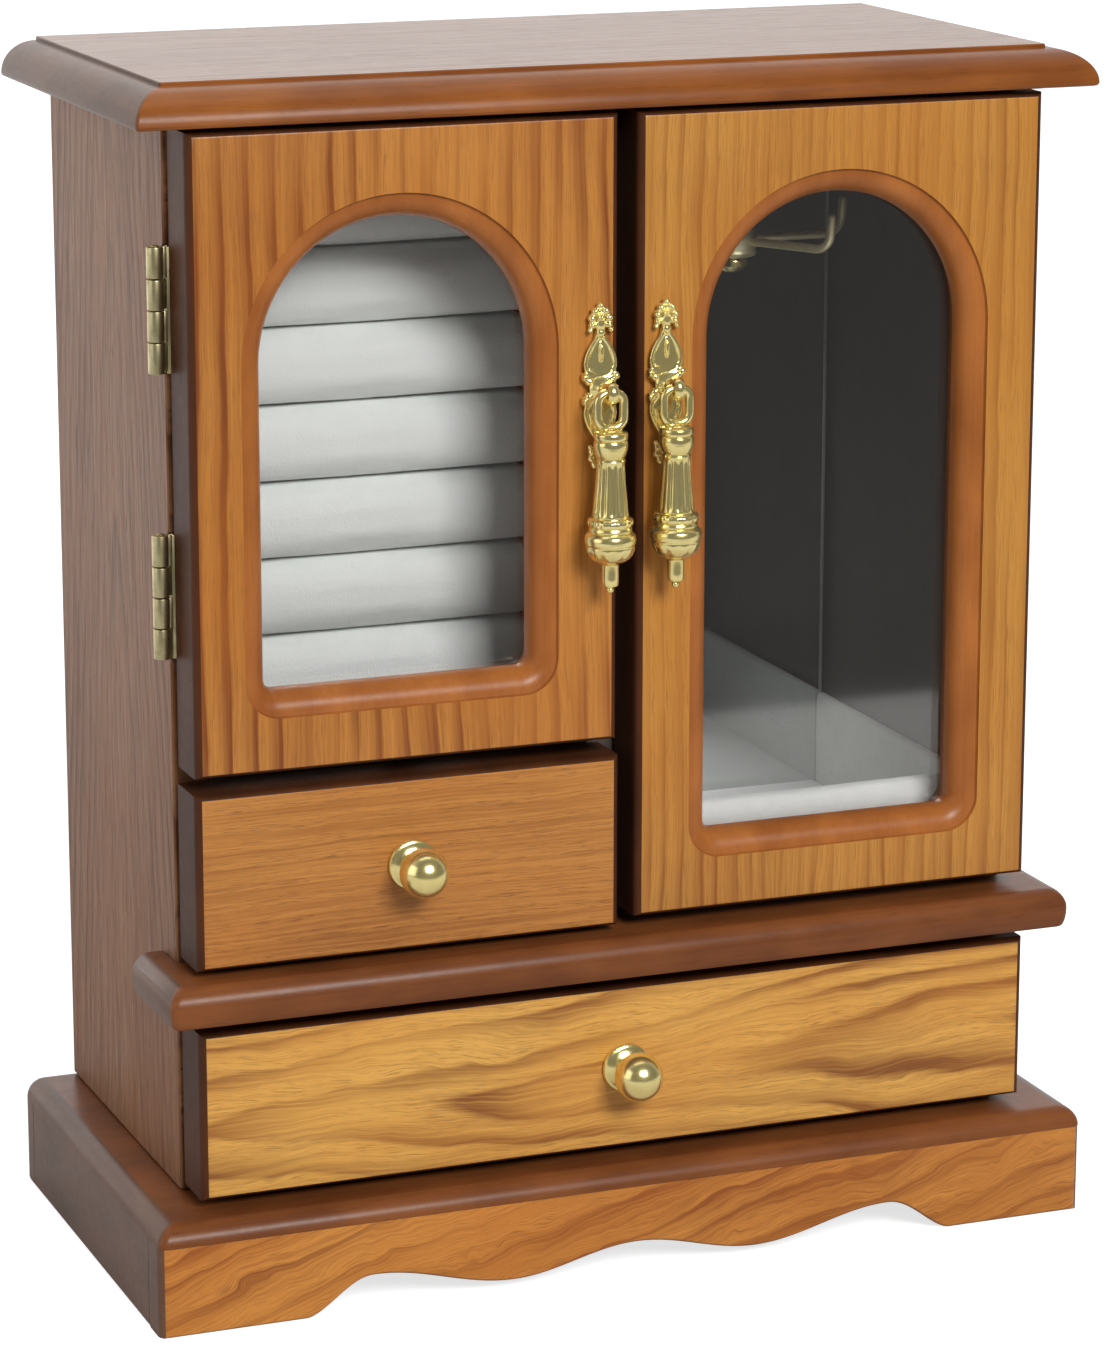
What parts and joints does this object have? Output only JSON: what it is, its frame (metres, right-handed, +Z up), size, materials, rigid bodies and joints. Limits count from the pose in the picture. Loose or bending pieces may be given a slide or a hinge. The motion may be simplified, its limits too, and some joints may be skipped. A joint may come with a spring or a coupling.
{
  "type": "jewelry box",
  "caption": "Wooden cabinet jewelry box with glazed arched doors, ring rolls, a turning necklace carousel, a lined bin and drawers.",
  "frame": {"origin": "on the floor under the middle of the whole box, pulls and knobs included", "axes": "+X to the right as the fronts are faced, +Y from the fronts to the back, +Z up"},
  "size_m": [0.256, 0.1352, 0.31],
  "materials": {
    "front_oak": "satin lacquer over straight oak grain",
    "drawer_oak": "satin lacquer over lively oak grain",
    "case_oak": "satin brown stain over oak grain",
    "top_oak": "satin lacquer",
    "moulding": "satin brown lacquer",
    "inner_wood": "matt stained wood",
    "board": "matt dark fibreboard",
    "plush": "soft white plush",
    "felt": "off-white felt",
    "glass": "clear",
    "mirror": "polished",
    "gold": "polished yellow plate",
    "antique_brass": "pale brushed",
    "steel": "dull"
  },
  "bodies": {
    "case": {"top_board": "top_oak", "base_board": "moulding", "skirt_front": "drawer_oak", "skirt_left": "moulding", "skirt_right": "moulding", "skirt_back": "moulding", "side_panel_left": "case_oak", "side_panel_right": "case_oak", "back_panel": "board", "deck_panel": "inner_wood", "divider_panel": "inner_wood", "shelf_panel": "inner_wood", "mid_rail": "moulding", "ring_roll_1": "plush", "ring_roll_2": "plush", "ring_roll_3": "plush", "ring_roll_4": "plush", "ring_roll_5": "plush", "ring_roll_6": "plush", "ring_roll_7": "plush", "ring_backer": "board", "mirror": "mirror", "bin_pad": "plush", "bin_liner": "plush", "bin_floor": "felt", "carousel_mount": "gold", "catch_left": "steel", "hinge_left_upper_fixed": "antique_brass", "hinge_left_lower_fixed": "antique_brass", "hinge_right_upper_fixed": "antique_brass", "hinge_right_lower_fixed": "antique_brass"},
    "door_left": {"door_left": "front_oak", "glass_left": "glass", "strike_left": "steel", "hinge_left_upper_swing": "antique_brass", "hinge_left_lower_swing": "antique_brass", "pull_left_plate": "gold"},
    "door_right": {"door_right": "front_oak", "glass_right": "glass", "hinge_right_upper_swing": "antique_brass", "hinge_right_lower_swing": "antique_brass", "pull_right_plate": "gold"},
    "pull_left": {"pull_left_drop": "gold"},
    "pull_right": {"pull_right_drop": "gold"},
    "drawer_big": {"drawer_big_front": "drawer_oak", "drawer_big_side_left": "inner_wood", "drawer_big_side_right": "inner_wood", "drawer_big_back": "inner_wood", "drawer_big_bottom": "board", "drawer_big_lining": "felt", "knob_big": "gold"},
    "drawer_small": {"drawer_small_front": "drawer_oak", "drawer_small_side_left": "inner_wood", "drawer_small_side_right": "inner_wood", "drawer_small_back": "inner_wood", "drawer_small_bottom": "board", "drawer_small_lining": "felt", "knob_small": "gold"},
    "carousel": {"carousel_rotor": "gold"}
  },
  "joints": [
    {"name": "left_door_hinge", "type": "hinge", "parent": "case", "child": "door_left", "pos_m": [-0.1168, -0.0359, 0.21955], "axis": [0, 0, -1], "range_deg": [0, 135]},
    {"name": "right_door_hinge", "type": "hinge", "parent": "case", "child": "door_right", "pos_m": [0.1168, -0.0359, 0.1958], "axis": [0, 0, 1], "range_deg": [0, 135]},
    {"name": "left_pull_swing", "type": "hinge", "parent": "door_left", "child": "pull_left", "pos_m": [-0.0082, -0.06065, 0.231], "axis": [-1, 0, 0], "range_deg": [0, 95]},
    {"name": "right_pull_swing", "type": "hinge", "parent": "door_right", "child": "pull_right", "pos_m": [0.0094, -0.06065, 0.231], "axis": [-1, 0, 0], "range_deg": [0, 95]},
    {"name": "big_drawer_slide", "type": "slide", "parent": "case", "child": "drawer_big", "axis": [0, -1, 0], "range_m": [0, 0.07]},
    {"name": "small_drawer_slide", "type": "slide", "parent": "case", "child": "drawer_small", "axis": [0, -1, 0], "range_m": [0, 0.07]},
    {"name": "carousel_spin", "type": "hinge", "parent": "case", "child": "carousel", "pos_m": [0.055, 0.01015, 0.2557], "axis": [0, 0, 1], "continuous": true}
  ]
}
